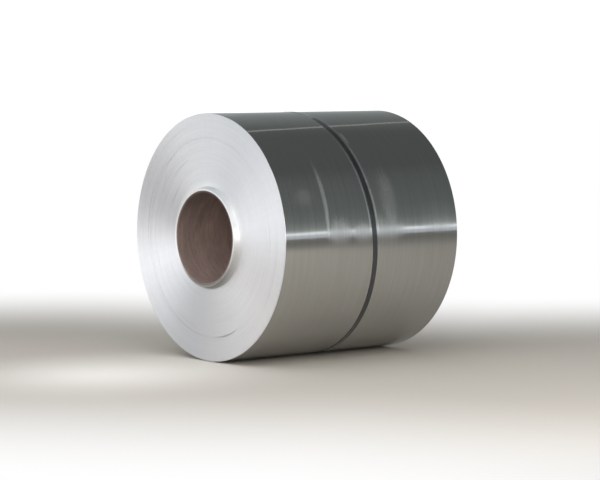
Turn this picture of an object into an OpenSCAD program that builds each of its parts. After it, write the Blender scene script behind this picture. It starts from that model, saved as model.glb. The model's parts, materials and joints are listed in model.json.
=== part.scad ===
// Coil of aluminium strip, wound on a brown fibre core and held by one steel strap.
// It lies on its side: the axis runs along Y, the end that shows its inner turns
// standing out faces -Y, and +Z is up. The origin is on the level that the coil
// rests on, under the middle of its outline.

/* [Coil] */
// Outside diameter of the wound strip
coil_od = 1394; // [1000:1:1800]
// Width of the strip, which is the length of every turn along the axis
strip_w = 1250; // [600:1:1600]
// Distance by which the innermost turns stand out at the front end
inner_turns_out = 30; // [5:1:80]
// Thickness of the layer of innermost turns that stands out
inner_turns_t = 11; // [4:1:60]

/* [Turns on the ends] */
// Number of bands of turns that show on each end, between the inner turns and the rim
turn_bands = 18; // [6:1:30]
// Largest step along the axis between one band of turns and another
band_step = 2; // [0.5:0.1:5]
// Unevenness of the bands, as a share of the width of an even band
band_unevenness = 0.3; // [0:0.05:0.4]

/* [Fibre core] */
// Inside diameter of the core, which takes the mandrel
core_id = 508; // [300:1:610]
// Thickness of the core's wall
core_wall = 10.5; // [5:0.5:20]
// Distance of each end of the core inside the ends of the innermost turns
core_setback = 2; // [0:0.5:20]

/* [Steel strap] */
// Width of the strap
strap_w = 32; // [13:1:50]
// Thickness of the strap
strap_t = 0.9; // [0.5:0.1:1.5]
// Lean of the strap, which brings its top nearer to the front end than its bottom
strap_lean = 4; // [0:0.5:6]
// Place of the strap's middle, from the middle of the strip's width towards the back end
strap_offset = 7; // [-150:1:150]

/* [Strap seal] */
// Length of the crimped seal along the strap
seal_len = 64; // [40:1:100]
// Thickness of the sheet that the seal is folded from
seal_t = 1.2; // [0.8:0.1:2]
// Place of the seal round the coil, counted from its right-hand side over its top
seal_angle = 150; // [100:1:165]
// Length of the strap's upper end that sticks out of each side of the seal
lap_out = 38; // [10:1:80]

/* [Fits] */
// Clearance between pieces that lie on each other
clearance = 0.3; // [0.1:0.05:0.6]

/* [Hidden] */
$fn = 144;
// Distance by which a bore is cut past each end of its tube
cut_past = 5;

// Radii, from the bore outwards
core_r_in = core_id / 2;
core_r_out = core_r_in + core_wall;
coil_r_in = core_r_out + clearance;
inner_turns_r = coil_r_in + inner_turns_t;
coil_r = coil_od / 2;
strap_r_in = coil_r + clearance;
strap_r_out = strap_r_in + strap_t;
lap_r_out = strap_r_out + strap_t;
seal_r_in = lap_r_out + clearance;
seal_r_out = seal_r_in + seal_t;

// Levels and lengths
axis_z = strap_r_out;
strip_mid_y = inner_turns_out / 2;
inner_mid_y = strip_mid_y - inner_turns_out;
core_len = strip_w - 2 * core_setback;
strap_mid_y = strip_mid_y + strap_offset;
seal_w_in = strap_w + 2 * clearance;
seal_w_out = seal_w_in + 2 * seal_t;

// Half of the angle that a length along the strap takes up round the coil
function half_angle(length) = length / 2 / strap_r_out * 180 / PI;

// Radius at which band number i of the turns begins; the last one ends at the rim
function band_r(i) =
    let (even_w = (coil_r - inner_turns_r) / turn_bands)
    let (is_end = i <= 0 || i >= turn_bands)
    inner_turns_r + even_w * (i + (is_end ? 0 : band_unevenness * sin(i * 77)));

// Distance along the axis by which band number i lies nearer to the front than the rim
function band_shift(i) = i == turn_bands - 1 ? 0 : band_step * (0.5 + 0.5 * sin(i * 137.5));

// Places a turned or extruded shape with its own +Z along +Y, on the coil's axis
module on_axis(mid_y) {
    translate([0, mid_y, axis_z]) rotate([-90, 0, 0]) children();
}

// Every turn is as wide as the strip, so a band that stands out in front lies back behind.
module wound_strip() {
    half_w = strip_w / 2;
    front = [for (i = [0:turn_bands - 1]) each
        [[band_r(i), -half_w - band_shift(i)], [band_r(i + 1), -half_w - band_shift(i)]]];
    back = [for (i = [turn_bands - 1:-1:0]) each
        [[band_r(i + 1), half_w - band_shift(i)], [band_r(i), half_w - band_shift(i)]]];
    inner = [
        [inner_turns_r, half_w - inner_turns_out],
        [coil_r_in, half_w - inner_turns_out],
        [coil_r_in, -half_w - inner_turns_out],
        [inner_turns_r, -half_w - inner_turns_out]
    ];
    color([0.80, 0.81, 0.82]) on_axis(strip_mid_y)
        rotate_extrude() polygon(concat(front, back, inner));
}

// The core lies inside the innermost turns and has moved along with them.
module fibre_core() {
    color([0.42, 0.36, 0.31]) on_axis(inner_mid_y) difference() {
        cylinder(r = core_r_out, h = core_len, center = true);
        cylinder(r = core_r_in, h = core_len + 2 * cut_past, center = true);
    }
}

// Ring round the coil's axis, between two radii, as wide as the strap's route needs
module ring(r_in, r_out, width) {
    on_axis(strap_mid_y) difference() {
        cylinder(r = r_out, h = width, center = true);
        cylinder(r = r_in, h = width + 2 * cut_past, center = true);
    }
}

// Band between two radii that follows the strap's leaning route round the coil
module leaning_band(r_in, r_out, width) {
    reach = 2 * (r_out * sin(strap_lean) + width);
    intersection() {
        ring(r_in, r_out, reach);
        translate([0, strap_mid_y, axis_z]) rotate([strap_lean, 0, 0])
            cube([3 * r_out, width, 3 * r_out], center = true);
    }
}

// Keeps what lies within a length of strap to either side of the seal's middle
module near_seal(length) {
    a = half_angle(length);
    side = 1.5 * coil_r;
    intersection() {
        children();
        translate([0, strap_mid_y, axis_z]) rotate([90, 0, 0])
            linear_extrude(height = coil_r, center = true) polygon([
                [0, 0],
                [side * cos(seal_angle - a), side * sin(seal_angle - a)],
                [side * cos(seal_angle + a), side * sin(seal_angle + a)]
            ]);
    }
}

// One length of strap whose ends lap over each other under the seal
module steel_strap() {
    color([0.20, 0.20, 0.21]) union() {
        leaning_band(strap_r_in, strap_r_out, strap_w);
        near_seal(seal_len + 2 * lap_out)
            leaning_band(strap_r_in + strap_t / 2, lap_r_out, strap_w);
    }
}

// Folded sheet that wraps the lapped ends over the top and down both edges
module strap_seal() {
    color([0.55, 0.56, 0.58]) near_seal(seal_len) difference() {
        leaning_band(strap_r_in, seal_r_out, seal_w_out);
        leaning_band(strap_r_in - strap_t, seal_r_in, seal_w_in);
    }
}

wound_strip();
fibre_core();
steel_strap();
strap_seal();
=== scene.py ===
"""Looks of a lying coil of aluminium strip: a fibre core, the strip wound on it, and a steel
strap with its seal. Lengths are in metres. The coil's axis runs along Y at the height AXIS_Z,
and angles round it count from +X over the top."""

import json
import math
import random

import bmesh
import bpy
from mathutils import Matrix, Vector


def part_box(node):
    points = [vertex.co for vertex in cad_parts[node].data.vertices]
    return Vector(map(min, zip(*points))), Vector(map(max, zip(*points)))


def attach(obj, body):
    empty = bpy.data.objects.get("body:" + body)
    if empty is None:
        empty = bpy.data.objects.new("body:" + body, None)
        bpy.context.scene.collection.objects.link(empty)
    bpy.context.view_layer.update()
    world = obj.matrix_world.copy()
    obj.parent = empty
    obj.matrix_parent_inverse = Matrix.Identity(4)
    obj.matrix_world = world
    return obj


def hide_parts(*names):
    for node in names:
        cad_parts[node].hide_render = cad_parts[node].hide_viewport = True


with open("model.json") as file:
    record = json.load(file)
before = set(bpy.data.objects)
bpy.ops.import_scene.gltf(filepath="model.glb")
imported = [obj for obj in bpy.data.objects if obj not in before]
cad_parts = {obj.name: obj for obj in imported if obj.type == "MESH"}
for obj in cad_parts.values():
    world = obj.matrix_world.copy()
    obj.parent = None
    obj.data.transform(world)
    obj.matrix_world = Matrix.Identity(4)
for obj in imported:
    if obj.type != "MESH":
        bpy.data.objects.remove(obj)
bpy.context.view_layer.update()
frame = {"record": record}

MM = 0.001


# ---------------------------------------------------------------- fibre core
# The tube that the strip is wound on: spiral-wound kraft board with a dull brown inside,
# cut square with slightly soft edges. The innermost turns hold it by their grip.

CORE_NODE = "fibre_core"
CORE_LIP = 2.5 * MM
CORE_LIP_BEND = 0.3 * CORE_LIP
CORE_SEGMENTS = 160
PLY_WIDTH = 140 * MM
PLY_SEAM = 0.018
KRAFT_MOTTLE = 71.4 * MM
KRAFT_FIBRES = 3.85 * MM
KRAFT_BROWN = "#B4998F"
KRAFT_DARK = "#8F7A72"
KRAFT_PALE = "#CFB6A8"
KRAFT_SEAM = "#665650"
# Painted shade laid over the board, and how deep from the front mouth it reaches
KRAFT_PAINTED_SHADE = "#4A3E3C"
PAINTED_SHADE_DEPTH = 350 * MM

core_low, core_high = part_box(CORE_NODE)
bore = next(m for m in frame["record"]["mounts"] if m["kind"] == "bore")
AXIS_Z = bore["pos_m"][2]
CORE_R_IN = bore["dims"]["r_mm"] * MM
CORE_R_OUT = core_high.x

# What each point of a section carries for the tree that turns it: the number of its band's own
# noise and how far that moves it, how far a mark there opens outwards and lifts it along the
# axis, the angle of that mark, and its share of the step at the end of the strip or strap
POINT_MARKS = ("band", "drift", "opening", "lift", "mark_at", "outer")
MERGE_BELOW = 0.02 * MM
DISSOLVE_BELOW = 0.01 * MM
SMOOTH_BELOW = math.radians(28)
# The setting by which a range goes over softly at both its ends
SMOOTHLY = {"interpolation_type": "SMOOTHSTEP"}


def linear(code):
    """An sRGB hex colour as the linear RGBA that the shaders take."""
    channels = [int(code[i : i + 2], 16) / 255 for i in (1, 3, 5)]
    return [c / 12.92 if c <= 0.04045 else ((c + 0.055) / 1.055) ** 2.4 for c in channels] + [1]


def fill(tree, node, values):
    """Gives a node its attributes, and its inputs by name or number. Another node's output is
    linked, and anything else is copied."""
    for name, value in values.items():
        if isinstance(name, str) and hasattr(node, name):
            setattr(node, name, value)
        elif isinstance(value, bpy.types.NodeSocket):
            tree.links.new(value, node.inputs[name])
        else:
            node.inputs[name].default_value = value


def add_node(tree, kind, settings=None, *inputs):
    """Adds a node and returns its outputs. settings are the values to fill it with, or the name
    of its operation; inputs go to its first sockets in their order."""
    node = tree.nodes.new(kind)
    if isinstance(settings, str):
        settings = {"operation": settings}
    fill(tree, node, settings or {})
    fill(tree, node, dict(enumerate(inputs)))
    return node.outputs


def turning_tree():
    """The tree that turns a section, a closed loop of points at (radius, place along Y), round
    the coil's axis. Marks on the points say how each wanders, opens or steps on its way."""
    tree = bpy.data.node_groups.new("turn_section", "GeometryNodeTree")
    for name, kind in (
        ("Section", "Geometry"),
        ("Points", "Int"),
        ("Segments", "Int"),
        ("Closed", "Int"),
        ("Axis height", "Float"),
        ("Start angle", "Float"),
        ("Sweep angle", "Float"),
        ("Lean", "Float"),
        ("Wander", "Float"),
        ("Mark angle", "Float"),
        ("Step height", "Float"),
        ("Step start", "Float"),
        ("Step angle", "Float"),
        ("Ends from radius", "Float"),
        ("Ends to radius", "Float"),
        ("Seed", "Float"),
        ("End finish", "Material"),
        ("Side finish", "Material"),
    ):
        tree.interface.new_socket(name, in_out="INPUT", socket_type="NodeSocket" + kind)
    tree.interface.new_socket("Mesh", in_out="OUTPUT", socket_type="NodeSocketGeometry")
    given = add_node(tree, "NodeGroupInput")
    position = add_node(tree, "GeometryNodeInputPosition")[0]

    # One grid point for each section point and each step round the axis
    rows = add_node(tree, "ShaderNodeMath", "ADD", given["Points"], 1)[0]
    steps = add_node(tree, "ShaderNodeMath", "ADD", given["Segments"], 1)[0]
    columns = add_node(tree, "ShaderNodeMath", "ADD", steps, given["Closed"])[0]
    last_column = add_node(tree, "ShaderNodeMath", "SUBTRACT", columns, 1)[0]
    grid = add_node(
        tree, "GeometryNodeMeshGrid", None, given["Points"], last_column, rows, columns
    )["Mesh"]
    at = add_node(tree, "ShaderNodeSeparateXYZ", None, position)
    row = add_node(tree, "ShaderNodeMath", "DIVIDE", given["Points"], 2)[0]
    row = add_node(tree, "ShaderNodeMath", "ADD", at["X"], row)[0]
    row = add_node(tree, "ShaderNodeMath", "ROUND", row)[0]
    row = add_node(tree, "ShaderNodeMath", "MODULO", row, given["Points"])[0]
    column = add_node(tree, "ShaderNodeMath", "DIVIDE", last_column, 2)[0]
    column = add_node(tree, "ShaderNodeMath", "ADD", at["Y"], column)[0]
    column = add_node(tree, "ShaderNodeMath", "ROUND", column)[0]
    column = add_node(tree, "ShaderNodeMath", "MODULO", column, steps)[0]

    # What the section's point in this row holds
    held = {"place": ("FLOAT_VECTOR", position)}
    for name in POINT_MARKS:
        mark = add_node(tree, "GeometryNodeInputNamedAttribute", {"data_type": "FLOAT", "Name": name})
        held[name] = ("FLOAT", mark["Attribute"])
    point = {}
    for name, (kind, value) in held.items():
        sampled = {"data_type": kind, "Geometry": given["Section"], "Value": value, "Index": row}
        point[name] = add_node(tree, "GeometryNodeSampleIndex", sampled)["Value"]
    place = add_node(tree, "ShaderNodeSeparateXYZ", None, point["place"])

    share = add_node(tree, "ShaderNodeMath", "DIVIDE", column, given["Segments"])[0]
    swept = add_node(tree, "ShaderNodeMath", "MULTIPLY", share, given["Sweep angle"])[0]
    angle = add_node(tree, "ShaderNodeMath", "ADD", given["Start angle"], swept)[0]
    cosine = add_node(tree, "ShaderNodeMath", "COSINE", angle)[0]
    sine = add_node(tree, "ShaderNodeMath", "SINE", angle)[0]

    # Each band of turns wanders along the axis by its own slow noise, the same after a full turn
    way = add_node(tree, "ShaderNodeCombineXYZ", None, cosine, sine, point["band"])[0]
    slow = {"noise_dimensions": "4D", "Scale": 1.3, "Detail": 2.0, "Roughness": 0.6}
    wander = add_node(tree, "ShaderNodeTexNoise", slow, way, given["Seed"])[0]
    wander = add_node(tree, "ShaderNodeMath", "SUBTRACT", wander, 0.5)[0]
    drift = add_node(tree, "ShaderNodeMath", "MULTIPLY", point["drift"], given["Wander"])[0]
    wander = add_node(tree, "ShaderNodeMath", "MULTIPLY", wander, drift)[0]
    along = add_node(tree, "ShaderNodeMath", "ADD", place["Y"], wander)[0]
    lean = add_node(tree, "ShaderNodeMath", "TANGENT", given["Lean"])[0]
    lean = add_node(tree, "ShaderNodeMath", "MULTIPLY", lean, place["X"])[0]
    lean = add_node(tree, "ShaderNodeMath", "MULTIPLY", lean, sine)[0]
    along = add_node(tree, "ShaderNodeMath", "SUBTRACT", along, lean)[0]

    # A slack turn stands off from the next one, and a proud one stands out, part of the way round
    off_mark = add_node(tree, "ShaderNodeMath", "SUBTRACT", angle, point["mark_at"])[0]
    nearness = add_node(tree, "ShaderNodeMath", "COSINE", off_mark)[0]
    edge = add_node(tree, "ShaderNodeMath", "DIVIDE", given["Mark angle"], 2)[0]
    edge = add_node(tree, "ShaderNodeMath", "COSINE", edge)[0]
    window = add_node(tree, "ShaderNodeMath", "SUBTRACT", nearness, edge)[0]
    window = add_node(tree, "ShaderNodeMath", "MAXIMUM", window, 0)[0]
    full = add_node(tree, "ShaderNodeMath", "SUBTRACT", 1, edge)[0]
    window = add_node(tree, "ShaderNodeMath", "DIVIDE", window, full)[0]
    opened = add_node(tree, "ShaderNodeMath", "MULTIPLY", point["opening"], window)[0]
    lifted = add_node(tree, "ShaderNodeMath", "MULTIPLY", point["lift"], window)[0]
    along = add_node(tree, "ShaderNodeMath", "SUBTRACT", along, lifted)[0]

    # The end of the strip or strap steps up over what lies under it
    step = add_node(tree, "ShaderNodeMath", "SUBTRACT", swept, given["Step start"])[0]
    step = add_node(tree, "ShaderNodeMath", "DIVIDE", step, given["Step angle"])[0]
    step = add_node(tree, "ShaderNodeClamp", None, step)[0]
    step = add_node(tree, "ShaderNodeMath", "MULTIPLY", point["outer"], step)[0]
    step = add_node(tree, "ShaderNodeMath", "MULTIPLY", step, given["Step height"])[0]
    radius = add_node(tree, "ShaderNodeMath", "ADD", place["X"], opened)[0]
    radius = add_node(tree, "ShaderNodeMath", "ADD", radius, step)[0]

    across = add_node(tree, "ShaderNodeMath", "MULTIPLY", radius, cosine)[0]
    height = add_node(tree, "ShaderNodeMath", "MULTIPLY", radius, sine)[0]
    height = add_node(tree, "ShaderNodeMath", "ADD", height, given["Axis height"])[0]
    turned = add_node(tree, "ShaderNodeCombineXYZ", None, across, along, height)[0]
    mesh = add_node(tree, "GeometryNodeSetPosition", {"Geometry": grid, "Position": turned})[0]
    mesh = add_node(
        tree, "GeometryNodeMergeByDistance", {"Geometry": mesh, "Distance": MERGE_BELOW}
    )[0]

    # A face's own middle says whether it is one of the ends or one of the round sides
    middle = add_node(tree, "ShaderNodeSeparateXYZ", None, position)
    rise = add_node(tree, "ShaderNodeMath", "SUBTRACT", middle["Z"], given["Axis height"])[0]
    rise = add_node(tree, "ShaderNodeMath", "MULTIPLY", rise, rise)[0]
    from_axis = add_node(tree, "ShaderNodeMath", "MULTIPLY", middle["X"], middle["X"])[0]
    from_axis = add_node(tree, "ShaderNodeMath", "ADD", from_axis, rise)[0]
    from_axis = add_node(tree, "ShaderNodeMath", "SQRT", from_axis)[0]
    past = add_node(tree, "ShaderNodeMath", "GREATER_THAN", from_axis, given["Ends from radius"])[0]
    within = add_node(tree, "ShaderNodeMath", "LESS_THAN", from_axis, given["Ends to radius"])[0]
    on_end = add_node(tree, "ShaderNodeMath", "MULTIPLY", past, within)[0]
    mesh = add_node(tree, "GeometryNodeRealizeInstances", {"Geometry": mesh})[0]
    sides = {"Geometry": mesh, "Material": given["Side finish"]}
    mesh = add_node(tree, "GeometryNodeSetMaterial", sides)[0]
    ends = {"Geometry": mesh, "Selection": on_end, "Material": given["End finish"]}
    mesh = add_node(tree, "GeometryNodeSetMaterial", ends)[0]
    add_node(tree, "NodeGroupOutput", None, mesh)
    return tree


TURN = turning_tree()


def turn(name, section, sizes, end_finish, side_finish):
    """Turns a section into a plain mesh object. section is a list of points, each a dict with
    r and y, and with the marks that differ from 0."""
    wire = bpy.data.meshes.new(name)
    count = len(section)
    wire.from_pydata(
        [(p["r"], p["y"], 0) for p in section], [(i, (i + 1) % count) for i in range(count)], []
    )
    for mark in POINT_MARKS:
        values = wire.attributes.new(mark, "FLOAT", "POINT")
        values.data.foreach_set("value", [float(p.get(mark, 0)) for p in section])
    source = bpy.data.objects.new(name, wire)
    bpy.context.scene.collection.objects.link(source)
    modifier = source.modifiers.new("turn", "NODES")
    modifier.node_group = TURN
    given = {
        "Points": count,
        "Closed": 1,
        "Axis height": AXIS_Z,
        "Start angle": 0.0,
        "Sweep angle": 2 * math.pi,
        "Lean": 0.0,
        "Wander": 0.0,
        "Mark angle": 1.0,
        "Step height": 0.0,
        "Step start": 0.0,
        "Step angle": 2 * math.pi,
        "Ends from radius": 0.0,
        "Ends to radius": 0.0,
        "Seed": 0.0,
        "End finish": end_finish,
        "Side finish": side_finish,
    } | sizes
    for socket in TURN.interface.items_tree:
        if socket.in_out == "INPUT" and socket.name in given:
            modifier[socket.identifier] = given[socket.name]
    bpy.context.view_layer.update()
    shaped = source.evaluated_get(bpy.context.evaluated_depsgraph_get())
    mesh = bpy.data.meshes.new_from_object(shaped)
    bpy.data.objects.remove(source)
    bpy.data.meshes.remove(wire)
    return finished(name, mesh)


def finished(name, mesh):
    """Closes a mesh, turns its faces outwards, smooths what is round and links it as an object."""
    work = bmesh.new()
    work.from_mesh(mesh)
    bmesh.ops.dissolve_degenerate(work, edges=work.edges, dist=DISSOLVE_BELOW)
    bmesh.ops.holes_fill(work, edges=[e for e in work.edges if e.is_boundary], sides=0)
    bmesh.ops.recalc_face_normals(work, faces=work.faces)
    work.to_mesh(mesh)
    work.free()
    mesh.name = name
    mesh.polygons.foreach_set("use_smooth", [True] * len(mesh.polygons))
    mesh.set_sharp_from_angle(angle=SMOOTH_BELOW)
    piece = bpy.data.objects.new(name, mesh)
    bpy.context.scene.collection.objects.link(piece)
    return piece


def new_finish(name):
    """An empty material and its main shader."""
    finish = bpy.data.materials.new(name)
    finish.use_nodes = True
    return finish, finish.node_tree, finish.node_tree.nodes["Principled BSDF"]


def out_from_axis(tree):
    """The vector from the coil's axis straight out to a point."""
    spot = add_node(tree, "ShaderNodeTexCoord")["Object"]
    out = add_node(tree, "ShaderNodeVectorMath", "SUBTRACT", spot, (0, 0, AXIS_Z))[0]
    return add_node(tree, "ShaderNodeVectorMath", "MULTIPLY", out, (1, 0, 1))[0]


def round_the_axis(tree):
    """A point's place along the coil's axis, and the cosine and sine of its angle round it."""
    outward = add_node(tree, "ShaderNodeVectorMath", "NORMALIZE", out_from_axis(tree))[0]
    cosine, _, sine = add_node(tree, "ShaderNodeSeparateXYZ", None, outward)
    spot = add_node(tree, "ShaderNodeTexCoord")["Object"]
    along = add_node(tree, "ShaderNodeSeparateXYZ", None, spot)["Y"]
    return along, cosine, sine


def patterns_on(tree, place, wanted):
    """One noise for each of the wanted patterns, a scale and settings. place is three values: a
    length, scaled by one over the pattern's size, and the cosine and sine of the angle."""
    point = add_node(tree, "ShaderNodeCombineXYZ", None, *place)[0]
    patterns = []
    for scale, settings in wanted:
        scaled = add_node(tree, "ShaderNodeVectorMath", "MULTIPLY", point, scale)[0]
        patterns.append(add_node(tree, "ShaderNodeTexNoise", {"Scale": 1.0} | settings, scaled)[0])
    return patterns


def painted(tree, ground, layers):
    """A ground colour with other colours laid over it in turn, each by its own share."""
    colour = linear(ground)
    for share, over in layers:
        mix = {"data_type": "RGBA", 6: colour, 7: linear(over)}
        colour = add_node(tree, "ShaderNodeMix", mix, share)[2]
    return colour


def kraft_board():
    """Kraft board, spiral-wound and never coated: matt, mottled, with the seam of its inner ply, and
    painted shade towards its mouth and its top.
    """
    finish, tree, shader = new_finish("kraft_board")
    along, cosine, sine = round_the_axis(tree)
    mottle, fibres = patterns_on(
        tree,
        (along, cosine, sine),
        (
            ((1 / KRAFT_MOTTLE, 1, 1), {"Scale": 1.6, "Detail": 6, "Roughness": 0.65}),
            ((1 / KRAFT_FIBRES, 18, 18), {"Detail": 3}),
        ),
    )
    # The ply goes once round for each ply width along the tube
    angle = add_node(tree, "ShaderNodeMath", "ARCTAN2", sine, cosine)[0]
    turns = add_node(tree, "ShaderNodeMath", "DIVIDE", angle, 2 * math.pi)[0]
    wound = add_node(tree, "ShaderNodeMath", "DIVIDE", along, PLY_WIDTH)[0]
    wound = add_node(tree, "ShaderNodeMath", "SUBTRACT", wound, turns)[0]
    wound = add_node(tree, "ShaderNodeMath", "FRACT", wound)[0]
    off_seam = add_node(tree, "ShaderNodeMath", "SUBTRACT", wound, 0.5)[0]
    off_seam = add_node(tree, "ShaderNodeMath", "ABSOLUTE", off_seam)[0]
    seam = add_node(tree, "ShaderNodeMapRange", SMOOTHLY, off_seam, 0.0, PLY_SEAM, 1.0, 0.0)[0]
    # Painted shade darkens the board towards the front mouth of the tube and towards its top
    depths = (core_low.y, core_low.y + PAINTED_SHADE_DEPTH)
    shaded_mouth = add_node(tree, "ShaderNodeMapRange", None, along, *depths, 0.5, 0.0)[0]
    top = add_node(tree, "ShaderNodeMapRange", None, sine, -0.1, 0.8, 0.0, 0.38)[0]
    board = painted(
        tree,
        KRAFT_DARK,
        (
            (add_node(tree, "ShaderNodeMapRange", None, mottle, 0.35, 0.68)[0], KRAFT_BROWN),
            (add_node(tree, "ShaderNodeMapRange", None, mottle, 0.62, 0.85)[0], KRAFT_PALE),
            (add_node(tree, "ShaderNodeMapRange", None, fibres, 0.3, 0.8, 0.0, 0.25)[0], KRAFT_PALE),
            (add_node(tree, "ShaderNodeMath", "MULTIPLY", seam, 0.6)[0], KRAFT_SEAM),
            (add_node(tree, "ShaderNodeMath", "ADD", shaded_mouth, top)[0], KRAFT_PAINTED_SHADE),
        ),
    )
    height = add_node(tree, "ShaderNodeMath", "MULTIPLY", fibres, 0.3)[0]
    height = add_node(tree, "ShaderNodeMath", "SUBTRACT", height, seam)[0]
    relief = {"Strength": 0.5, "Distance": 0.6 * MM, "Height": height}
    fill(
        tree,
        shader,
        {
            "Base Color": board,
            "Roughness": 0.85,
            "IOR": 1.45,
            "Normal": add_node(tree, "ShaderNodeBump", relief)[0],
        },
    )
    return finish


core_section = [
    {"r": CORE_R_IN, "y": core_low.y + CORE_LIP},
    {"r": CORE_R_IN + CORE_LIP_BEND, "y": core_low.y + CORE_LIP_BEND},
    {"r": CORE_R_IN + CORE_LIP, "y": core_low.y},
    {"r": CORE_R_OUT, "y": core_low.y},
    {"r": CORE_R_OUT, "y": core_high.y},
    {"r": CORE_R_IN + CORE_LIP, "y": core_high.y},
    {"r": CORE_R_IN + CORE_LIP_BEND, "y": core_high.y - CORE_LIP_BEND},
    {"r": CORE_R_IN, "y": core_high.y - CORE_LIP},
]
KRAFT = kraft_board()
core = turn("core_board", core_section, {"Segments": CORE_SEGMENTS}, KRAFT, KRAFT)
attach(core, "root")
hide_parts(CORE_NODE)


# --------------------------------------------------------------- wound strip
# Aluminium strip in mill finish, about 0.9 mm thick, cold rolled and slit to width, then wound
# on the core. Its slit edges make the two ends, where bands of turns lie at different depths,
# and the innermost turns have crept out at the front.

STRIP_NODE = "wound_strip"
STRIP_THICKNESS = 0.9 * MM
CORE_GAP = 0.3 * MM
INNER_TURNS = 11 * MM
STRIP_SEGMENTS = 224
BAND_WIDTHS = (4 * MM, 13 * MM)
BAND_JITTER = 0.35 * MM
BAND_DRIFT = 1.4 * MM
BAND_NOISE_STEP = 3.7
EDGE_WANDER = 1.6 * MM
# The crept turns fall back to the rest in a cone: (way out from it, share of the creep)
CREPT_CONE = ((2.5 * MM, 0.74), (4.5 * MM, 0.6), (7 * MM, 0.3), (9 * MM, 0.2), (12 * MM, 0.0))
# The inner and the outer third of the crept turns lag a little behind the third between them
LAG_INSIDE = 1.2 * MM
LAG_OUTSIDE = 0.8 * MM
RIM_ROUND = 2.2 * MM
RIM_SHAPE = ((0.0, 1.0), (0.5, 0.866), (0.866, 0.5))
MARK_ANGLE = math.radians(21)
SLACK_DEPTH = 30 * MM
PROUD_HEIGHT = 1.2 * MM
# Slack and proud turns: (radius in millimetres, angle in degrees, opening or width in millimetres)
SLACK_TURNS = ((557, -73, 7.5),)
PROUD_TURNS = (
    (551, 6, 2.4),
    (526, 8, 2.4),
    (530, -113, 2.4),
    (559, 130, 2.4),
    (464, 125, 2.4),
    (381, 145, 2.8),
    (345, 200, 2.4),
    (361, 196, 2.4),
    (498, 198, 2.4),
)
# The section over a slack turn: (way out, share of the opening, way along the axis)
SLACK_SHAPE = (
    (0.02 * MM, 0.0, -SLACK_DEPTH),
    (0.04 * MM, 0.4, -SLACK_DEPTH),
    (0.06 * MM, 1.0, PROUD_HEIGHT),
    (STRIP_THICKNESS, 1.0, PROUD_HEIGHT),
    (2 * STRIP_THICKNESS, 1.0, 0.0),
)
# The section over a proud turn: (share of its width, share of its height)
PROUD_SHAPE = ((0.2, 0.9), (0.5, 1.0), (0.8, 0.9), (1.0, 0.0))
TAIL_ANGLE = math.radians(208)
WOUND_SEED = 7

strip_low, strip_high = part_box(STRIP_NODE)
COIL_R = strip_high.x
STRIP_R_IN = CORE_R_OUT + CORE_GAP
INNER_TURNS_R = STRIP_R_IN + INNER_TURNS
CORE_SET_BACK = core_low.y - strip_low.y
STRIP_WIDTH = core_high.y - core_low.y + 2 * CORE_SET_BACK
CREPT_OUT = strip_high.y - strip_low.y - STRIP_WIDTH
MID_Y = strip_high.y - STRIP_WIDTH / 2


def bands_of_turns():
    """Bands from the crept turns to the rim: (inner radius, outer radius, shift to the front)."""
    draw = random.Random(WOUND_SEED)
    radius = INNER_TURNS_R + CREPT_CONE[-1][0]
    bands = []
    shift = 0.0
    while radius < COIL_R - 1.5 * BAND_WIDTHS[1]:
        width = draw.uniform(*BAND_WIDTHS)
        shift += draw.uniform(-1, 1) * BAND_JITTER
        shift = max(-BAND_DRIFT / 2, min(BAND_DRIFT / 2, shift))
        bands.append((radius, radius + width, BAND_DRIFT / 2 + shift))
        radius += width
    bands.append((radius, COIL_R, 0.0))
    return bands


def marks_near(bands, wanted):
    """The bands at whose inner edge the marked turns lie: {band number: (angle, width)}."""
    found = {}
    for radius, angle, width in wanted:
        nearest = min(range(1, len(bands) - 1), key=lambda i: abs(bands[i][0] - radius * MM))
        found[nearest] = (math.radians(angle), width * MM)
    return found


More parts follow.
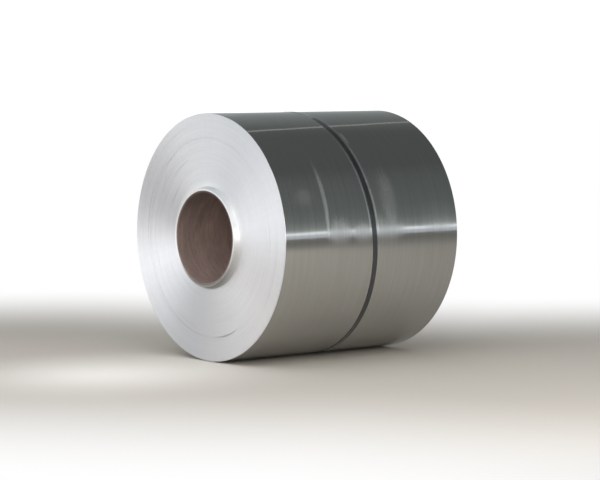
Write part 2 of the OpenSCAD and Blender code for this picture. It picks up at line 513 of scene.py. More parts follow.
def strip_section():
    """The coil's section, from the bore over the front end, the outside and the back end."""
    bands = bands_of_turns()
    slack = marks_near(bands, SLACK_TURNS)
    proud = marks_near(bands, PROUD_TURNS)

    def end(place, outwards):
        """Points over one end, from the cone to the rim, each band at place(its shift); outwards
        is 1 where the end faces the front and -1 where it faces the back."""
        points = []
        for out, share in CREPT_CONE[:-1]:
            points.append({"r": INNER_TURNS_R + out, "y": place(share * CREPT_OUT)})
        for i, (inner, outer, shift) in enumerate(bands):
            inside = i < len(bands) - 1
            here = {"y": place(shift), "band": i * BAND_NOISE_STEP, "drift": float(inside)}
            points.append({"r": inner, **here})
            if i in slack:
                angle, opening = slack[i]
                for out, share, lift in SLACK_SHAPE:
                    mark = {"mark_at": angle, "opening": share * opening, "lift": lift * outwards}
                    points.append({"r": inner + out, **here, **mark})
            if i in proud:
                angle, width = proud[i]
                for out, share in PROUD_SHAPE:
                    mark = {"mark_at": angle, "lift": share * PROUD_HEIGHT * outwards}
                    points.append({"r": inner + out * width, **here, **mark})
            if inside:
                points.append({"r": outer, **here})
        return points

    half = STRIP_WIDTH / 2
    front = end(lambda shift: MID_Y - half - shift, 1)
    back = end(lambda shift: MID_Y + half - shift, -1)
    # Rows close to the rim keep its rounding out of the shading of the side
    shares = [0.0, 0.001, 0.006, 0.03] + [i / 10 for i in range(1, 10)] + [0.97, 0.994, 0.999, 1.0]
    rim = [
        {"r": COIL_R, "y": MID_Y + (share - 0.5) * (STRIP_WIDTH - 2 * RIM_ROUND), "outer": 1}
        for share in shares
    ]
    front_round = [
        {"r": COIL_R - RIM_ROUND * (1 - a), "y": MID_Y - half + RIM_ROUND * (1 - b), "outer": a}
        for a, b in RIM_SHAPE
    ]
    back_round = [
        {"r": COIL_R - RIM_ROUND * (1 - a), "y": MID_Y + half - RIM_ROUND * (1 - b), "outer": a}
        for a, b in reversed(RIM_SHAPE)
    ]
    inner_front = MID_Y - half - CREPT_OUT
    inner_back = MID_Y + half - CREPT_OUT
    third = INNER_TURNS / 3
    lips_front = [
        {"r": STRIP_R_IN, "y": inner_front + LAG_INSIDE},
        {"r": STRIP_R_IN + third, "y": inner_front + LAG_INSIDE, "band": 1.0},
        {"r": STRIP_R_IN + third, "y": inner_front, "band": 2.0},
        {"r": STRIP_R_IN + 2 * third, "y": inner_front, "band": 2.0},
        {"r": STRIP_R_IN + 2 * third, "y": inner_front + LAG_OUTSIDE, "band": 3.0},
        {"r": INNER_TURNS_R, "y": inner_front + LAG_OUTSIDE, "band": 3.0},
    ]
    lips_back = [
        {"r": INNER_TURNS_R, "y": inner_back + LAG_OUTSIDE, "band": 3.0},
        {"r": STRIP_R_IN, "y": inner_back + LAG_OUTSIDE},
    ]
    return lips_front + front + front_round + rim + back_round + list(reversed(back)) + lips_back


ALUMINIUM_FACE = "#E9E9EB"
ALUMINIUM_FACE_DULL = "#DFDFE1"
# Painted shade over sectors of the ends
ALUMINIUM_SECTOR_SHADE = "#BFBFC1"
# Painted light round the crept turns
ALUMINIUM_PAINTED_LIGHT = "#F1F1F0"
# Painted shade under the crept turns
ALUMINIUM_RING_SHADE = "#959592"
ALUMINIUM_SIDE = "#B9BAB8"
ALUMINIUM_SIDE_PALE = "#C4C5C3"
# Pale colour of scuffs, and of the painted highlight along the strap's edges
ALUMINIUM_SCUFF_AND_HIGHLIGHT = "#F0F0EF"
EDGE_BAND = 9 * MM
EDGE_TURN = 3 * STRIP_THICKNESS
EDGE_MARKS = 400 * MM
# Sectors of the ends painted darker as shade: the angle of each sector's middle and half its
# spread, in degrees, and how much of it is shaded
SHADED_SECTORS = ((256, 60, 0.62), (158, 46, 0.85), (40, 75, 0.28), (0, 25, 0.15))
# Painted shade under the crept turns lies thick within the first of these angles from its middle, and
# ends at the second
RING_SHADE_MIDDLE = -82
RING_SHADE_SPREAD = (math.radians(22), math.radians(75))
# Radii where the painted shade under the crept turns, and the painted light round them, are strongest
# and where they are gone
RING_SHADE_REACH = (INNER_TURNS_R - 2 * MM, INNER_TURNS_R + 24 * MM)
PAINTED_LIGHT_RING = (INNER_TURNS_R + 8 * MM, INNER_TURNS_R + 60 * MM)
ROLLING_LINES = 6 * MM
SIDE_GRAIN = 45 * MM
SIDE_WAVE = 222 * MM
# Where slings have rubbed the side: place along the axis and angle in degrees of each mark's
# middle, half its width and half its length in millimetres, and how far it is rubbed dull and
# scuffed pale
RUBS = (
    (-310, 20, 13, 190, 1.0, 0.35),
    (-590, 84, 110, 70, 1.0, 0.6),
    (-450, 21, 60, 45, 0.45, 0.0),
    (-225, 4, 70, 80, 0.8, 0.0),
    (-60, 3, 60, 60, 0.8, 0.0),
    (27, 53, 11, 45, 0.8, 0.7),
    (105, 4, 110, 90, 0.8, 0.0),
    (150, 18, 55, 170, 1.0, 0.0),
    (500, 10, 110, 80, 0.5, 0.0),
)
# A mark thins out to nothing where its squared distance, in half sizes, is this
RUB_REACH = 2.4
# Along its edges the strap has rubbed the side dull, and a highlight is painted pale there: how
# far off its middle, the mark's half width in millimetres, and its share
EDGE_SCUFFS_AND_HIGHLIGHTS = ((-24, 9, 0.8), (27, 17, 0.9))
STRAP_LEAN = math.radians(4)
STRAP_NODE = "steel_strap"
strap_low, strap_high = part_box(STRAP_NODE)
STRAP_Y = (strap_low.y + strap_high.y) / 2


def slit_edges():
    """Slit edges of bright aluminium strip, hundreds of them side by side. They act like fine
    grooves round the axis: light streaks straight across them and each band has its own tone."""
    finish, tree, shader = new_finish("slit_aluminium_edges")
    out = out_from_axis(tree)
    distance = add_node(tree, "ShaderNodeVectorMath", "LENGTH", out)["Value"]
    outward = add_node(tree, "ShaderNodeVectorMath", "NORMALIZE", out)[0]
    cosine, _, sine = add_node(tree, "ShaderNodeSeparateXYZ", None, outward)
    # Single turns are finer than the render shows, so they are drawn three times as coarse, and
    # slitting and handling leave faint marks across them
    bands, turns, across = patterns_on(
        tree,
        (distance, cosine, sine),
        (
            ((1 / EDGE_BAND, 1.1, 1.1), {"Detail": 4, "Roughness": 0.6}),
            ((1 / EDGE_TURN, 1.1, 1.1), {"Detail": 2}),
            ((1 / EDGE_MARKS, 26, 26), {"Detail": 3, "Roughness": 0.6}),
        ),
    )
    tone = add_node(tree, "ShaderNodeMath", "MULTIPLY", bands, 0.72)[0]
    marks = add_node(tree, "ShaderNodeMath", "MULTIPLY", across, 0.28)[0]
    tone = add_node(tree, "ShaderNodeMath", "ADD", tone, marks)[0]

    def away_from(degrees):
        """How far a point is turned from this angle round the axis."""
        middle = (math.cos(math.radians(degrees)), 0, math.sin(math.radians(degrees)))
        near = add_node(tree, "ShaderNodeVectorMath", "DOT_PRODUCT", outward, middle)["Value"]
        return add_node(tree, "ShaderNodeMath", "ARCCOSINE", near)[0]

    layers = [(add_node(tree, "ShaderNodeMapRange", None, tone, 0.3, 0.7)[0], ALUMINIUM_FACE)]
    # Sectors of the ends take painted shade
    for middle, spread, share in SHADED_SECTORS:
        fade = (0.0, math.radians(spread), share, 0.0)
        patch = add_node(tree, "ShaderNodeMapRange", SMOOTHLY, away_from(middle), *fade)[0]
        layers.append((patch, ALUMINIUM_SECTOR_SHADE))
    # Painted light brightens the crept turns and the face round them, except below them, where
    # painted shade darkens them and the face just under them
    below = away_from(RING_SHADE_MIDDLE)
    below = add_node(tree, "ShaderNodeMapRange", SMOOTHLY, below, *RING_SHADE_SPREAD, 1.0, 0.0)[0]
    above = add_node(tree, "ShaderNodeMath", "SUBTRACT", 1.0, below)[0]
    painted_light = add_node(tree, "ShaderNodeMapRange", SMOOTHLY, distance, *PAINTED_LIGHT_RING, 0.8, 0.0)[0]
    painted_light = add_node(tree, "ShaderNodeMath", "MULTIPLY", painted_light, above)[0]
    ring_shade = add_node(tree, "ShaderNodeMapRange", SMOOTHLY, distance, *RING_SHADE_REACH, 0.95, 0.0)[0]
    ring_shade = add_node(tree, "ShaderNodeMath", "MULTIPLY", ring_shade, below)[0]
    layers += [(painted_light, ALUMINIUM_PAINTED_LIGHT), (ring_shade, ALUMINIUM_RING_SHADE)]
    relief = {"Strength": 0.2, "Distance": 0.5 * MM, "Height": turns}
    fill(
        tree,
        shader,
        {
            "Base Color": painted(tree, ALUMINIUM_FACE_DULL, layers),
            "Metallic": 1.0,
            "Roughness": add_node(tree, "ShaderNodeMapRange", None, turns, 0.2, 0.8, 0.39, 0.47)[0],
            "Anisotropic": 0.85,
            "Tangent": outward,
            "Normal": add_node(tree, "ShaderNodeBump", relief)[0],
        },
    )
    return finish


def rolled_side():
    """Cold-rolled mill finish: a dim mirror with faint rolling lines along the strip, so round
    the coil, a slight wave, and duller smudges where slings and hands have rubbed it."""
    finish, tree, shader = new_finish("mill_finish_aluminium")
    along, cosine, sine = round_the_axis(tree)
    # Rolling lines are finer than the render shows, so they are drawn 6 mm apart
    lines, grain, wave = patterns_on(
        tree,
        (along, cosine, sine),
        (
            ((1 / ROLLING_LINES, 1.5, 1.5), {"Detail": 4, "Roughness": 0.6}),
            ((1 / SIDE_GRAIN, 7, 7), {"Detail": 4, "Roughness": 0.6}),
            ((1 / SIDE_WAVE, 2.2, 2.2), {"Detail": 1}),
        ),
    )
    angle = add_node(tree, "ShaderNodeMath", "ARCTAN2", sine, cosine)[0]
    spot = add_node(tree, "ShaderNodeCombineXYZ", None, along, angle)[0]
    uneven = add_node(tree, "ShaderNodeMapRange", None, grain, 0.25, 0.75, 0.7, 1.0)[0]
    rubbed = add_node(tree, "ShaderNodeMapRange", SMOOTHLY, grain, 0.5, 0.85, 0.0, 0.2)[0]
    scuffed_and_highlit = 0.0
    for place, at, width, length, rub, scuff in RUBS:
        middle = (place * MM, math.radians(at), 0)
        spread = (width * MM, length * MM / COIL_R, 1)
        off = add_node(tree, "ShaderNodeVectorMath", "SUBTRACT", spot, middle)[0]
        off = add_node(tree, "ShaderNodeVectorMath", "DIVIDE", off, spread)[0]
        off = add_node(tree, "ShaderNodeVectorMath", "DOT_PRODUCT", off, off)["Value"]
        mark = add_node(tree, "ShaderNodeMapRange", SMOOTHLY, off, 0.0, RUB_REACH, 1.0, 0.0)[0]
        mark = add_node(tree, "ShaderNodeMath", "MULTIPLY", mark, uneven)[0]
        dull = add_node(tree, "ShaderNodeMath", "MULTIPLY", mark, rub)[0]
        pale = add_node(tree, "ShaderNodeMath", "MULTIPLY", mark, scuff)[0]
        rubbed = add_node(tree, "ShaderNodeMath", "MAXIMUM", rubbed, dull)[0]
        scuffed_and_highlit = add_node(tree, "ShaderNodeMath", "MAXIMUM", scuffed_and_highlit, pale)[0]

    # The strap's rubbed edges and their painted highlight show from a little over the coil's middle
    # up, and fade towards its top
    lean = add_node(tree, "ShaderNodeMath", "MULTIPLY", sine, math.tan(STRAP_LEAN) * COIL_R)[0]
    off_strap = add_node(tree, "ShaderNodeMath", "SUBTRACT", along, STRAP_Y)[0]
    off_strap = add_node(tree, "ShaderNodeMath", "ADD", off_strap, lean)[0]
    upper = add_node(tree, "ShaderNodeMapRange", SMOOTHLY, sine, 0.02, 0.14)[0]
    fading = add_node(tree, "ShaderNodeMapRange", None, sine, 0.6, 0.85, 1.0, 0.3)[0]
    upper = add_node(tree, "ShaderNodeMath", "MULTIPLY", upper, fading)[0]
    patchy = add_node(tree, "ShaderNodeMapRange", None, grain, 0.25, 0.6, 0.45, 1.0)[0]
    upper = add_node(tree, "ShaderNodeMath", "MULTIPLY", upper, patchy)[0]
    for place, width, share in EDGE_SCUFFS_AND_HIGHLIGHTS:
        off = add_node(tree, "ShaderNodeMath", "SUBTRACT", off_strap, place * MM)[0]
        off = add_node(tree, "ShaderNodeMath", "ABSOLUTE", off)[0]
        mark = add_node(tree, "ShaderNodeMapRange", SMOOTHLY, off, 0.0, width * MM, share, 0.0)[0]
        mark = add_node(tree, "ShaderNodeMath", "MULTIPLY", mark, upper)[0]
        rubbed = add_node(tree, "ShaderNodeMath", "MAXIMUM", rubbed, mark)[0]
        scuffed_and_highlit = add_node(tree, "ShaderNodeMath", "MAXIMUM", scuffed_and_highlit, mark)[0]

    rolled = add_node(tree, "ShaderNodeMapRange", None, lines, 0.3, 0.7)[0]
    rough = add_node(tree, "ShaderNodeMapRange", None, lines, 0.3, 0.7, 0.09, 0.11)[0]
    dulled = add_node(tree, "ShaderNodeMath", "MULTIPLY", rubbed, 0.18)[0]
    rough = add_node(tree, "ShaderNodeMath", "ADD", rough, dulled)[0]
    waves = {"Strength": 1.0, "Distance": 1.2 * MM, "Height": wave}
    waved = add_node(tree, "ShaderNodeBump", waves)[0]
    relief = {"Strength": 0.05, "Distance": 0.1 * MM, "Height": lines, "Normal": waved}
    layers = ((rolled, ALUMINIUM_SIDE_PALE), (scuffed_and_highlit, ALUMINIUM_SCUFF_AND_HIGHLIGHT))
    fill(
        tree,
        shader,
        {
            "Base Color": painted(tree, ALUMINIUM_SIDE, layers),
            "Metallic": 1.0,
            "Roughness": rough,
            "Anisotropic": 0.5,
            "Tangent": add_node(tree, "ShaderNodeCombineXYZ", {"Y": 1.0})[0],
            "Normal": add_node(tree, "ShaderNodeBump", relief)[0],
        },
    )
    return finish


strip = turn(
    "wound_aluminium_strip",
    strip_section(),
    {
        "Segments": STRIP_SEGMENTS,
        "Start angle": TAIL_ANGLE,
        "Wander": EDGE_WANDER,
        "Mark angle": MARK_ANGLE,
        "Step height": -STRIP_THICKNESS,
        "Ends from radius": STRIP_R_IN + STRIP_THICKNESS,
        "Ends to radius": COIL_R - 1.5 * STRIP_THICKNESS,
        "Seed": float(WOUND_SEED),
    },
    slit_edges(),
    rolled_side(),
)
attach(strip, "root")
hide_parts(STRIP_NODE)


# --------------------------------------------------------------- steel strap
# Blued steel strapping, 32 mm by 0.9 mm, pulled tight round the coil's middle by a tensioner. It
# went on a little askew, so its top leans to the front, and its ends lap under the seal.

STRAP_WIDTH = 32 * MM
STRAP_THICKNESS = 0.9 * MM
STRAP_GAP = 0.3 * MM
STRAP_EDGE = 0.3 * MM
STRAP_SEGMENTS = 260
STRAP_SCUFFS = 3 * MM
LAP_LENGTH = 140 * MM
LAP_RISE = 60 * MM
LAP_GAP = 0.05 * MM
SEAL_ANGLE = math.radians(150)
BLUED = "#484A4E"
BLUED_WORN = "#85878A"
# Pale steel painted over the strap's top as a reflection, between these angles round the axis
STRAP_TOP_REFLECTION = "#B4B6B7"
TOP_REFLECTION_FROM = math.radians(72)
TOP_REFLECTION_TO = math.radians(104)

STRAP_R = COIL_R + STRAP_GAP


def blued_steel():
    """Blued and waxed steel strapping: a dark metal sheen, worn paler in fine lines along it, and
    painted pale over the top as a reflection.
    """
    finish, tree, shader = new_finish("blued_steel_strapping")
    along, cosine, sine = round_the_axis(tree)
    (scuffs,) = patterns_on(
        tree,
        (along, cosine, sine),
        (((1 / STRAP_SCUFFS, 9, 9), {"Detail": 5, "Roughness": 0.7}),),
    )
    # Over the top the strap is painted pale steel, a painted reflection of the light it catches there
    # at a grazing angle
    angle = add_node(tree, "ShaderNodeMath", "ARCTAN2", sine, cosine)[0]
    ragged = add_node(tree, "ShaderNodeMapRange", None, scuffs, 0.3, 0.7, -0.03, 0.03)[0]
    angle = add_node(tree, "ShaderNodeMath", "ADD", angle, ragged)[0]
    starts = (TOP_REFLECTION_FROM - 0.02, TOP_REFLECTION_FROM + 0.03)
    ends = (TOP_REFLECTION_TO, TOP_REFLECTION_TO + 0.06)
    top_reflection = add_node(tree, "ShaderNodeMapRange", SMOOTHLY, angle, *starts)[0]
    ending = add_node(tree, "ShaderNodeMapRange", SMOOTHLY, angle, *ends, 1.0, 0.0)[0]
    top_reflection = add_node(tree, "ShaderNodeMath", "MULTIPLY", top_reflection, ending)[0]
    worn = add_node(tree, "ShaderNodeMapRange", None, scuffs, 0.55, 0.8)[0]
    fill(
        tree,
        shader,
        {
            "Base Color": painted(tree, BLUED, ((worn, BLUED_WORN), (top_reflection, STRAP_TOP_REFLECTION))),
            "Metallic": 1.0,
            "Roughness": add_node(tree, "ShaderNodeMapRange", None, scuffs, 0.3, 0.7, 0.3, 0.42)[0],
            "Coat Weight": 1.0,
            "Coat Roughness": 0.18,
        },
    )
    return finish


strap_top = STRAP_R + STRAP_THICKNESS
strap_half = STRAP_WIDTH / 2
strap_section = [
    {"r": STRAP_R, "y": STRAP_Y - strap_half, "outer": 1},
    {"r": strap_top - STRAP_EDGE, "y": STRAP_Y - strap_half, "outer": 1},
    {"r": strap_top, "y": STRAP_Y - strap_half + STRAP_EDGE, "outer": 1},
    {"r": strap_top, "y": STRAP_Y + strap_half - STRAP_EDGE, "outer": 1},
    {"r": strap_top - STRAP_EDGE, "y": STRAP_Y + strap_half, "outer": 1},
    {"r": STRAP_R, "y": STRAP_Y + strap_half, "outer": 1},
]
BLUED_STEEL = blued_steel()
strap = turn(
    "steel_strapping",
    strap_section,
    {
        "Segments": STRAP_SEGMENTS,
        "Closed": 0,
        "Start angle": SEAL_ANGLE - LAP_LENGTH / 2 / STRAP_R,
        "Sweep angle": 2 * math.pi + LAP_LENGTH / STRAP_R,
        "Lean": STRAP_LEAN,
        "Step height": STRAP_THICKNESS + LAP_GAP,
        "Step start": 2 * math.pi - LAP_RISE / STRAP_R,
        "Step angle": LAP_RISE / STRAP_R,
    },
    BLUED_STEEL,
    BLUED_STEEL,
)
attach(strap, "root")
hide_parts(STRAP_NODE)


# ---------------------------------------------------------------- strap seal
# A sleeve of bright steel sheet, 64 mm long, folded round the strap's two lapped ends and crimped
# three times with a sealer. It lies on the far side of the coil, where the strap laps.

SEAL_NODE = "strap_seal"
SEAL_LENGTH = 64 * MM
SEAL_SHEET = 1.2 * MM
SEAL_ROUND = 1.0 * MM
SEAL_SIDE_GAP = 0.2 * MM
SEAL_TOP_GAP = 0.1 * MM
SEAL_FOOT = 0.1 * MM
SEAL_ROWS = 96
SEAL_SCRATCHES = 1.5 * MM
CRIMPS = (-18 * MM, 0.0, 18 * MM)
CRIMP_LENGTH = 3.2 * MM
CRIMP_RISE = 1.1 * MM
CRIMP_FLARE = 0.8 * MM
SEAL_STEEL = "#A9ABAC"
SEAL_STEEL_DULL = "#8C8E90"


def seal_steel():
    """Cold-rolled steel sheet, bright but handled: a satin metal with fine lengthways scratches."""
    finish, tree, shader = new_finish("cold_rolled_steel_sheet")
    (scratches,) = patterns_on(
        tree,
        round_the_axis(tree),
        (((1 / SEAL_SCRATCHES, 30, 30), {"Detail": 4, "Roughness": 0.6}),),
    )
    dulled = add_node(tree, "ShaderNodeMapRange", None, scratches, 0.35, 0.7)[0]
    rough = add_node(tree, "ShaderNodeMapRange", None, scratches, 0.3, 0.7, 0.28, 0.4)[0]
    fill(
        tree,
        shader,
        {
            "Base Color": painted(tree, SEAL_STEEL, ((dulled, SEAL_STEEL_DULL),)),
            "Metallic": 1.0,
            "Roughness": rough,
        },
    )
    return finish


def seal_sheet():
    """The folded and crimped sleeve, as (across the strap, out from the coil) all along it."""
    half = STRAP_WIDTH / 2 + SEAL_SIDE_GAP + SEAL_SHEET
    top = STRAP_GAP + 2 * STRAP_THICKNESS + LAP_GAP + SEAL_TOP_GAP + SEAL_SHEET
    inside = half - SEAL_SHEET
    under = top - SEAL_SHEET
    corner = []
    for degrees in (0, 22.5, 45, 67.5, 90):
        w = half - SEAL_ROUND + SEAL_ROUND * math.cos(math.radians(degrees))
        h = top - SEAL_ROUND + SEAL_ROUND * math.sin(math.radians(degrees))
        corner.append((w, h))
    across = [(half, SEAL_FOOT)] + corner
    across += [(share * half, top) for share in (0.7, 0.4, 0.0, -0.4, -0.7)]
    across += [(-w, h) for w, h in reversed(corner)] + [(-half, SEAL_FOOT)]
    across += [(-inside, SEAL_FOOT), (-inside, under), (inside, under), (inside, SEAL_FOOT)]
    sheet = bmesh.new()
    rows = []
    for i in range(SEAL_ROWS + 1):
        s = (i / SEAL_ROWS - 0.5) * SEAL_LENGTH
        crimp = sum(math.exp(-(((s - at) / CRIMP_LENGTH) ** 2)) for at in CRIMPS)
        angle = SEAL_ANGLE + s / STRAP_R
        lean = math.tan(STRAP_LEAN) * STRAP_R * math.sin(angle)
        row = []
        for w, h in across:
            edge = min(1.0, abs(w) / half) ** 2
            flare = math.copysign(CRIMP_FLARE * crimp * edge, w)
            rise = CRIMP_RISE * crimp * edge if h > under + 0.5 * SEAL_SHEET else 0.0
            radius = COIL_R + h + rise
            x = radius * math.cos(angle)
            z = AXIS_Z + radius * math.sin(angle)
            row.append(sheet.verts.new((x, STRAP_Y - lean + w + flare, z)))
        rows.append(row)
    for first, second in zip(rows, rows[1:]):
        for j in range(len(across)):
            k = (j + 1) % len(across)
            sheet.faces.new((first[j], first[k], second[k], second[j]))
    sheet.faces.new(rows[0])
    sheet.faces.new(rows[-1])
    mesh = bpy.data.meshes.new("seal")
    sheet.to_mesh(mesh)
    sheet.free()
    return mesh


seal = finished("crimped_seal", seal_sheet())
seal.data.materials.append(seal_steel())
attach(seal, "root")
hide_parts(SEAL_NODE)


# --------------------------------------------------------------------- floor
# A pale, matt studio floor. It keeps the coil's shadow, and away from the coil it runs out into
# the white of the studio round it.

FLOOR_RADIUS = 60.0
FLOOR_SEGMENTS = 96
FLOOR_COLOUR = "#D2CAC0"
# The floor's colour runs one way past the coil, along a line a little aside, from its short end
# on. It is full this near to the line and gone this far from it, and it widens along the way
FLOOR_WAY = Vector((0.78, 0.63, 0))
FLOOR_ACROSS = FLOOR_WAY.cross(Vector((0, 0, 1)))
FLOOR_SHIFT = 0.4
FLOOR_SHORT_END = -1.5
FLOOR_WIDENS_FROM = 0.8
FLOOR_SPREAD = 0.3
FLOOR_NEAR = 0.9
FLOOR_FAR = 4.0


def studio_floor():
    """Matt painted board near the coil, and beyond it a white that the camera and every reflection
    see, and that lights nothing else."""
    finish, tree, shader = new_finish("studio_floor")
    fill(
        tree,
        shader,
        {"Base Color": linear(FLOOR_COLOUR), "Roughness": 0.9, "Specular IOR Level": 0.1},
    )
    spot = add_node(tree, "ShaderNodeTexCoord")["Object"]
    across = add_node(tree, "ShaderNodeVectorMath", "DOT_PRODUCT", spot, FLOOR_ACROSS)["Value"]
    across = add_node(tree, "ShaderNodeMath", "SUBTRACT", across, FLOOR_SHIFT)[0]
    across = add_node(tree, "ShaderNodeMath", "MULTIPLY", across, across)[0]
    along = add_node(tree, "ShaderNodeVectorMath", "DOT_PRODUCT", spot, FLOOR_WAY)["Value"]
    short = add_node(tree, "ShaderNodeMath", "SUBTRACT", along, FLOOR_SHORT_END)[0]
    short = add_node(tree, "ShaderNodeMath", "MINIMUM", short, 0.0)[0]
    short = add_node(tree, "ShaderNodeMath", "MULTIPLY", short, short)[0]
    spread = add_node(tree, "ShaderNodeMath", "SUBTRACT", along, FLOOR_WIDENS_FROM)[0]
    spread = add_node(tree, "ShaderNodeMath", "MAXIMUM", spread, 0.0)[0]
    spread = add_node(tree, "ShaderNodeMath", "MULTIPLY", spread, FLOOR_SPREAD)[0]
    off = add_node(tree, "ShaderNodeMath", "ADD", across, short)[0]
    off = add_node(tree, "ShaderNodeMath", "SQRT", off)[0]
    off = add_node(tree, "ShaderNodeMath", "SUBTRACT", off, spread)[0]
    fade = add_node(tree, "ShaderNodeMapRange", SMOOTHLY, off, FLOOR_NEAR, FLOOR_FAR)[0]
    path = add_node(tree, "ShaderNodeLightPath")
    seen = add_node(
        tree, "ShaderNodeMath", "MAXIMUM", path["Is Camera Ray"], path["Is Glossy Ray"]
    )[0]
    seen = add_node(tree, "ShaderNodeMath", "MAXIMUM", seen, path["Is Transmission Ray"])[0]
    seen = add_node(tree, "ShaderNodeMath", "MULTIPLY", fade, seen)[0]
    white = add_node(tree, "ShaderNodeEmission", {"Strength": 1.0})[0]
    blend = add_node(tree, "ShaderNodeMixShader", None, seen, shader.outputs[0], white)[0]
    fill(tree, tree.nodes["Material Output"], {"Surface": blend})
    return finish


floor_mesh = bpy.data.meshes.new("floor")
work = bmesh.new()
bmesh.ops.create_circle(work, cap_ends=True, radius=FLOOR_RADIUS, segments=FLOOR_SEGMENTS)
work.to_mesh(floor_mesh)
work.free()
floor_mesh.materials.append(studio_floor())
floor = bpy.data.objects.new("floor", floor_mesh)
bpy.context.scene.collection.objects.link(floor)


# --------------------------------------------------------------------- light
# A dim room with white all round at eye level and a soft glow from the front left. Softboxes
# hang high in front, over the coil and to the right, and low in front and at both sides, with two
# narrow ones far behind, and a spot lights the floor in front.

# The room's brightness: (height as the sine of its angle over the floor, value)
ROOM_STOPS = (
    (0.0, 1.0),
    (0.05, 1.0),
    (0.075, 0.5),
    (0.11, 0.33),
    (0.2, 0.22),
    (0.33, 0.18),
    (0.6, 0.15),
    (0.7, 0.12),
    (1.0, 0.12),
)
ROOM_TINT = (0.95, 1.03, 1.0)
# The side from which the room glows, how the glow sets in towards it, as the cosine of the angle
# between, and its strength and tint
LIT_SIDE = (-0.6, -0.8, 0)
LIT_FROM = (-0.4, 0.75)
LIT_STRENGTH = 0.55
LIT_TINT = (0.93, 0.98, 1.06)
# The low, slightly blue wall at the far end of the floor: how it sets in from the sides, as the
# cosine of the angle from the floor's way, and how it ends above, as the sine of its height
FAR_WALL = (0.72, 0.75, 0.82, 1)
FAR_WALL_FROM = (0.93, 0.99)
FAR_WALL_TOP = (0.035, 0.06)
# Each softbox: its name, its middle, the point that it faces, its width and depth, its radiance
# and its tint
SOFTBOXES = (
    ("front_softbox", (2.1, -4.7, 3.5), (0, -0.6, AXIS_Z), 6.2, 6.2, 1.02, (1.0, 0.995, 0.99)),
    ("front_low_softbox", (-0.2, -4.6, 0.6), (0, -0.6, 0.5), 1.2, 0.5, 1.0, (1, 1, 1)),
    ("top_softbox", (0.0, -0.2, 3.6), (0, -0.2, 0), 3.0, 2.0, 0.9, (1, 1, 1)),
    ("right_softbox", (4.6, -0.3, 3.2), (0.6, 0, 0), 5.2, 5.2, 0.78, (1, 1, 1)),
    ("right_low_softbox", (4.0, -0.6, 1.25), (0.7, 0, 0.2), 4.6, 1.5, 1.1, (1, 1, 1)),
    ("left_low_softbox", (-1.8, -1.7, 0.35), (-0.4, -0.64, 0.5), 0.9, 0.5, 0.74, (1.0, 0.985, 0.96)),
    ("far_strip", (7.0, 5.6, 1.16), (0, 0, AXIS_Z), 5.0, 0.3, 0.55, (0.93, 0.98, 1.05)),
    ("roof_strip", (-2.55, 4.3, 5.6), (-2.55, 4.3, 0), 0.11, 4.6, 0.35, (1, 1, 1)),
)
ROOF_STRIP_TURN = math.radians(29)
SPOT_PLACE = (0.1, -3.4, 4.0)
SPOT_AIM = (0.1, -1.4, 0)
SPOT_ENERGY = 620
SPOT_TINT = (0.88, 0.98, 1.12)
SPOT_CONE = math.radians(19)
SPOT_SOFTNESS = 0.5

world = bpy.data.worlds.new("studio")
bpy.context.scene.world = world
world.use_nodes = True
room_tree = world.node_tree
way = add_node(room_tree, "ShaderNodeTexCoord")["Generated"]
height = add_node(room_tree, "ShaderNodeSeparateXYZ", None, way)["Z"]
ramp = add_node(room_tree, "ShaderNodeValToRGB", None, height)[0]
stops = ramp.node.color_ramp.elements
while len(stops) < len(ROOM_STOPS):
    stops.new(1.0)
# The stops sort themselves as they are placed, so they take their colours afterwards
for stop, (place, _) in zip(stops, ROOM_STOPS):
    stop.position = place
for stop, (_, value) in zip(stops, ROOM_STOPS):
    tint = ROOM_TINT if value < 1 else (1, 1, 1)
    stop.color = [value * part for part in tint] + [1]
wall = add_node(room_tree, "ShaderNodeVectorMath", "DOT_PRODUCT", way, FLOOR_WAY)["Value"]
wall = add_node(room_tree, "ShaderNodeMapRange", SMOOTHLY, wall, *FAR_WALL_FROM)[0]
low = add_node(room_tree, "ShaderNodeMapRange", None, height, *FAR_WALL_TOP, 1.0, 0.0)[0]
wall = add_node(room_tree, "ShaderNodeMath", "MULTIPLY", wall, low)[0]
walled = {"data_type": "RGBA", 6: ramp, 7: FAR_WALL}
room = add_node(room_tree, "ShaderNodeMix", walled, wall)[2]
lit = add_node(room_tree, "ShaderNodeVectorMath", "DOT_PRODUCT", way, LIT_SIDE)["Value"]
lit = add_node(room_tree, "ShaderNodeMapRange", SMOOTHLY, lit, *LIT_FROM)[0]
glow = {"operation": "SCALE", 0: [LIT_STRENGTH * part for part in LIT_TINT], "Scale": lit}
glow = add_node(room_tree, "ShaderNodeVectorMath", glow)[0]
lightened = {"data_type": "RGBA", "blend_type": "ADD", 6: room, 7: glow}
room = add_node(room_tree, "ShaderNodeMix", lightened, 1.0)[2]
fill(room_tree, room_tree.nodes["Background"], {"Color": room})


def hung(name, lamp, place, aim):
    """Hangs a lamp at its place, turned to its aim, where the camera can't see it."""
    holder = bpy.data.objects.new(name, lamp)
    bpy.context.scene.collection.objects.link(holder)
    holder.location = place
    holder.rotation_euler = (Vector(aim) - Vector(place)).to_track_quat("-Z", "Y").to_euler()
    holder.visible_camera = False


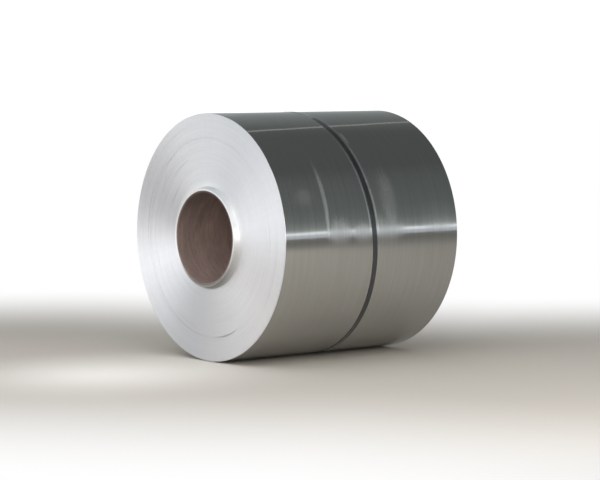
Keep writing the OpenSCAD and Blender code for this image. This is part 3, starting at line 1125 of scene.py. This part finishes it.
for name, place, aim, width, depth, radiance, tint in SOFTBOXES:
    softbox = bpy.data.lights.new(name, "AREA")
    softbox.shape = "RECTANGLE"
    softbox.size = width
    softbox.size_y = depth
    softbox.energy = radiance * math.pi * width * depth
    softbox.color = tint
    hung(name, softbox, place, aim)
bpy.data.objects["roof_strip"].rotation_euler = (0, 0, ROOF_STRIP_TURN)

floor_spot = bpy.data.lights.new("floor_spot", "SPOT")
floor_spot.energy = SPOT_ENERGY
floor_spot.color = SPOT_TINT
floor_spot.spot_size = SPOT_CONE
floor_spot.spot_blend = 1.0
floor_spot.shadow_soft_size = SPOT_SOFTNESS
hung("floor_spot", floor_spot, SPOT_PLACE, SPOT_AIM)


# -------------------------------------------------------------------- camera
# A long lens at eye level, well back from the coil and round to the right of its front end. It
# aims a little beside and below the coil's middle.

OUTSIDE = 2 * COIL_R
VIEW_AZIMUTH = math.radians(51.24)
VIEW_RISE = math.radians(4.08)
VIEW_DISTANCE = 9.932 * OUTSIDE
AIM_RIGHT = 0.019 * OUTSIDE
AIM_UP = -0.0302 * OUTSIDE
FOCAL_LENGTH = 144.04
SENSOR_WIDTH = 36
SEES_AS_FAR_AS = 500

middle = Vector((0, MID_Y, AXIS_Z))
towards = Vector(
    (
        math.sin(VIEW_AZIMUTH) * math.cos(VIEW_RISE),
        -math.cos(VIEW_AZIMUTH) * math.cos(VIEW_RISE),
        math.sin(VIEW_RISE),
    )
)
right = Vector((math.cos(VIEW_AZIMUTH), math.sin(VIEW_AZIMUTH), 0))
up = right.cross(-towards)
lens = bpy.data.cameras.new("camera")
lens.lens = FOCAL_LENGTH
lens.sensor_width = SENSOR_WIDTH
lens.clip_end = SEES_AS_FAR_AS
camera = bpy.data.objects.new("camera", lens)
bpy.context.scene.collection.objects.link(camera)
camera.location = middle + VIEW_DISTANCE * towards
aim = middle + AIM_RIGHT * right + AIM_UP * up
camera.rotation_euler = (aim - camera.location).to_track_quat("-Z", "Y").to_euler()
bpy.context.scene.camera = camera
bpy.context.scene.view_settings.view_transform = "Standard"
